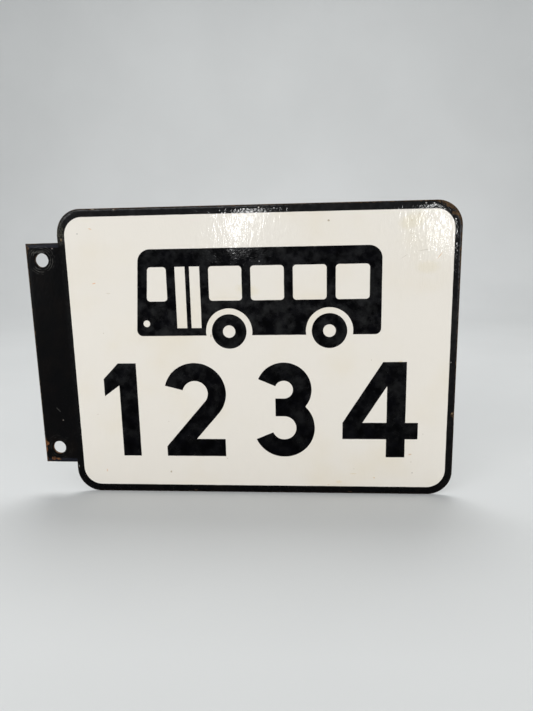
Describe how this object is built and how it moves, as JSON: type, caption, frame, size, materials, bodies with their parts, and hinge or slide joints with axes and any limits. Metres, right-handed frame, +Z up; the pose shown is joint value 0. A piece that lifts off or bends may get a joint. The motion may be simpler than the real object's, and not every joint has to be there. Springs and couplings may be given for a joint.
{
  "type": "bus stop flag",
  "caption": "Double-sided enamelled steel bus stop flag with a bolt tab at one side, and on each face a white panel with a bus symbol over plain route numbers.",
  "frame": {"origin": "midway between the two bolt holes of the tab, on the plate's middle plane", "axes": "+X from the post towards the free end, +Z up, -Y out of the front face"},
  "size_m": [0.4409, 0.0038, 0.3048],
  "materials": {
    "black_enamelled_steel": "gloss",
    "white_enamel": "gloss",
    "black_enamel": "gloss"
  },
  "bodies": {
    "root": {"enamelled_plate": "black_enamelled_steel", "white_panel_front": "white_enamel", "white_panel_back": "white_enamel", "bus_symbol_front": "black_enamel", "bus_symbol_back": "black_enamel", "route_numbers_front": "black_enamel", "route_numbers_back": "black_enamel"}
  },
  "joints": []
}
